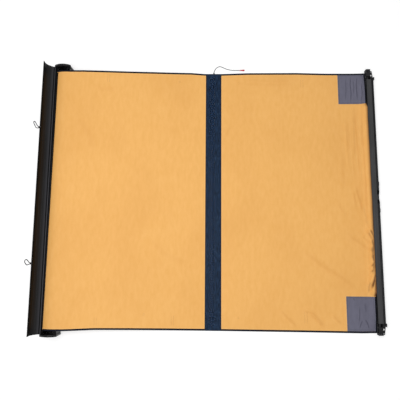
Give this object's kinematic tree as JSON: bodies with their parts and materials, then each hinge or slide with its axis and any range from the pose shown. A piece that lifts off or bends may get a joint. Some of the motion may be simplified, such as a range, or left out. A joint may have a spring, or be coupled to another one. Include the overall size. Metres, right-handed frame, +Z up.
{
  "type": "vehicle side awning",
  "caption": "Hard-case pull-out awning for a vehicle: a hinged lid, a canopy with a light sleeve, and a front bar that holds folding telescopic legs and arms.",
  "frame": {"origin": "middle of the case's flat vehicle face, which lies on the floor", "axes": "+X out from the vehicle along the canopy's reach, +Y along the case, +Z up, out of the case's mouth"},
  "size_m": [2.6779, 2.1426, 0.212],
  "materials": {
    "anodised_black": "black anodised extrusion, satin",
    "grey_tube": "grey anodised drawn tube",
    "bright_steel": "plain steel pins and eyelets",
    "black_nylon": "moulded black nylon, fine texture",
    "black_rubber": "matt rubber",
    "orange_canvas": "coated ripstop canvas, light orange",
    "hem_tape": "woven black binding tape",
    "navy_canvas": "navy coated fabric with a slight gloss",
    "grey_canvas": "grey reinforcing fabric, matt",
    "led_tape": "silicone-covered LED tape",
    "clear_film": "tinted clear film over the LED tape",
    "black_cord": "braided black cord",
    "grey_cable": "grey cable sheath",
    "red_plastic": "moulded red plastic"
  },
  "bodies": {
    "case": {"case_extrusion": "anodised_black", "end_cap_left": "black_nylon", "end_cap_right": "black_nylon", "arm_socket_left": "black_nylon", "arm_socket_right": "black_nylon", "keder_rear": "hem_tape", "canopy_panel_rear": "orange_canvas", "hem_rear_left": "hem_tape", "hem_rear_right": "hem_tape"},
    "lid": {"lid_extrusion": "anodised_black", "lid_seal": "black_rubber", "pull_eyelet_left": "bright_steel", "pull_eyelet_right": "bright_steel", "pull_loop_left": "black_cord", "pull_loop_right": "black_cord"},
    "front_bar": {"bar_extrusion": "anodised_black", "keder_front": "hem_tape", "canopy_panel_front": "orange_canvas", "bar_bracket_left": "black_nylon", "hem_front_left": "hem_tape", "corner_patch_left": "grey_canvas", "patch_binding_left": "hem_tape", "leg_pin_left": "bright_steel", "arm_pin_left": "bright_steel", "bar_bracket_right": "black_nylon", "hem_front_right": "hem_tape", "corner_patch_right": "grey_canvas", "patch_binding_right": "hem_tape", "leg_pin_right": "bright_steel", "arm_pin_right": "bright_steel"},
    "light_strip": {"light_sleeve": "navy_canvas", "led_strip": "led_tape", "light_window": "clear_film", "lead_gland": "black_nylon", "light_lead": "grey_cable", "light_connector": "red_plastic"},
    "leg_left_outer": {"leg_left_outer": "grey_tube"},
    "leg_left_middle": {"leg_left_middle": "grey_tube"},
    "leg_left_inner": {"leg_left_inner": "grey_tube", "leg_left_foot": "black_rubber"},
    "leg_left_lock_upper": {"leg_left_lock_upper": "black_nylon"},
    "leg_left_lock_lower": {"leg_left_lock_lower": "black_nylon"},
    "leg_right_outer": {"leg_right_outer": "grey_tube"},
    "leg_right_middle": {"leg_right_middle": "grey_tube"},
    "leg_right_inner": {"leg_right_inner": "grey_tube", "leg_right_foot": "black_rubber"},
    "leg_right_lock_upper": {"leg_right_lock_upper": "black_nylon"},
    "leg_right_lock_lower": {"leg_right_lock_lower": "black_nylon"},
    "arm_left_outer": {"arm_left_outer": "grey_tube"},
    "arm_left_middle": {"arm_left_middle": "grey_tube"},
    "arm_left_inner": {"arm_left_inner": "grey_tube", "arm_left_plug": "black_rubber"},
    "arm_left_lock_upper": {"arm_left_lock_upper": "black_nylon"},
    "arm_left_lock_lower": {"arm_left_lock_lower": "black_nylon"},
    "arm_right_outer": {"arm_right_outer": "grey_tube"},
    "arm_right_middle": {"arm_right_middle": "grey_tube"},
    "arm_right_inner": {"arm_right_inner": "grey_tube", "arm_right_plug": "black_rubber"},
    "arm_right_lock_upper": {"arm_right_lock_upper": "black_nylon"},
    "arm_right_lock_lower": {"arm_right_lock_lower": "black_nylon"}
  },
  "joints": [
    {"name": "lid_hinge", "type": "hinge", "parent": "case", "child": "lid", "pos_m": [-0.057, 0, 0.1], "axis": [0, -1, 0], "range_deg": [-115, 0]},
    {"name": "bar_slide", "type": "slide", "parent": "case", "child": "front_bar", "axis": [1, 0, 0], "range_m": [-2.2, 0], "deforming": ["canopy_panel_rear", "canopy_panel_front", "hem_rear_left", "hem_rear_right", "hem_front_left", "hem_front_right", "corner_patch_left", "corner_patch_right"]},
    {"name": "sleeve_slide", "type": "slide", "parent": "case", "child": "light_strip", "axis": [1, 0, 0], "range_m": [-1.08, 0]},
    {"name": "leg_left_fold", "type": "hinge", "parent": "front_bar", "child": "leg_left_outer", "pos_m": [2.489, 0.9578, 0.017], "axis": [-1, 0, 0], "range_deg": [0, 90]},
    {"name": "leg_left_first_extend", "type": "slide", "parent": "leg_left_outer", "child": "leg_left_middle", "axis": [0, -1, 0], "range_m": [0, 0.6605]},
    {"name": "leg_left_second_extend", "type": "slide", "parent": "leg_left_middle", "child": "leg_left_inner", "axis": [0, -1, 0], "range_m": [0, 0.6605]},
    {"name": "leg_left_upper_twist", "type": "hinge", "parent": "leg_left_outer", "child": "leg_left_lock_upper", "pos_m": [2.489, 0.104, 0.017], "axis": [0, 1, 0], "range_deg": [0, 90]},
    {"name": "leg_left_lower_twist", "type": "hinge", "parent": "leg_left_middle", "child": "leg_left_lock_lower", "pos_m": [2.489, 0.072, 0.017], "axis": [0, 1, 0], "range_deg": [0, 90]},
    {"name": "leg_right_fold", "type": "hinge", "parent": "front_bar", "child": "leg_right_outer", "pos_m": [2.489, -0.9578, 0.017], "axis": [1, 0, 0], "range_deg": [0, 90]},
    {"name": "leg_right_first_extend", "type": "slide", "parent": "leg_right_outer", "child": "leg_right_middle", "axis": [0, 1, 0], "range_m": [0, 0.6605]},
    {"name": "leg_right_second_extend", "type": "slide", "parent": "leg_right_middle", "child": "leg_right_inner", "axis": [0, 1, 0], "range_m": [0, 0.6605]},
    {"name": "leg_right_upper_twist", "type": "hinge", "parent": "leg_right_outer", "child": "leg_right_lock_upper", "pos_m": [2.489, -0.104, 0.017], "axis": [0, 1, 0], "range_deg": [0, 90]},
    {"name": "leg_right_lower_twist", "type": "hinge", "parent": "leg_right_middle", "child": "leg_right_lock_lower", "pos_m": [2.489, -0.072, 0.017], "axis": [0, 1, 0], "range_deg": [0, 90]},
    {"name": "arm_left_swing", "type": "hinge", "parent": "front_bar", "child": "arm_left_outer", "pos_m": [2.452, 1.012, 0.023], "axis": [0, 0, -1], "range_deg": [0, 90]},
    {"name": "arm_left_first_extend", "type": "slide", "parent": "arm_left_outer", "child": "arm_left_middle", "axis": [0, -1, 0], "range_m": [0, 0.6905]},
    {"name": "arm_left_second_extend", "type": "slide", "parent": "arm_left_middle", "child": "arm_left_inner", "axis": [0, -1, 0], "range_m": [0, 0.6905]},
    {"name": "arm_left_upper_twist", "type": "hinge", "parent": "arm_left_outer", "child": "arm_left_lock_upper", "pos_m": [2.452, 0.108, 0.023], "axis": [0, 1, 0], "range_deg": [0, 90]},
    {"name": "arm_left_lower_twist", "type": "hinge", "parent": "arm_left_middle", "child": "arm_left_lock_lower", "pos_m": [2.452, 0.076, 0.023], "axis": [0, 1, 0], "range_deg": [0, 90]},
    {"name": "arm_right_swing", "type": "hinge", "parent": "front_bar", "child": "arm_right_outer", "pos_m": [2.452, -1.012, 0.023], "axis": [0, 0, 1], "range_deg": [0, 90]},
    {"name": "arm_right_first_extend", "type": "slide", "parent": "arm_right_outer", "child": "arm_right_middle", "axis": [0, 1, 0], "range_m": [0, 0.6905]},
    {"name": "arm_right_second_extend", "type": "slide", "parent": "arm_right_middle", "child": "arm_right_inner", "axis": [0, 1, 0], "range_m": [0, 0.6905]},
    {"name": "arm_right_upper_twist", "type": "hinge", "parent": "arm_right_outer", "child": "arm_right_lock_upper", "pos_m": [2.452, -0.108, 0.023], "axis": [0, 1, 0], "range_deg": [0, 90]},
    {"name": "arm_right_lower_twist", "type": "hinge", "parent": "arm_right_middle", "child": "arm_right_lock_lower", "pos_m": [2.452, -0.076, 0.023], "axis": [0, 1, 0], "range_deg": [0, 90]}
  ],
  "couplings": [
    {"joint": "sleeve_slide", "follows": "bar_slide", "ratio": 0.487},
    {"joint": "leg_left_first_extend", "follows": "leg_left_fold", "m_per_rad": 0.42},
    {"joint": "leg_left_second_extend", "follows": "leg_left_fold", "m_per_rad": 0.42},
    {"joint": "leg_right_first_extend", "follows": "leg_right_fold", "m_per_rad": 0.42},
    {"joint": "leg_right_second_extend", "follows": "leg_right_fold", "m_per_rad": 0.42},
    {"joint": "arm_left_first_extend", "follows": "arm_left_swing", "m_per_rad": 0.439},
    {"joint": "arm_left_second_extend", "follows": "arm_left_swing", "m_per_rad": 0.439},
    {"joint": "arm_right_first_extend", "follows": "arm_right_swing", "m_per_rad": 0.439},
    {"joint": "arm_right_second_extend", "follows": "arm_right_swing", "m_per_rad": 0.439}
  ]
}
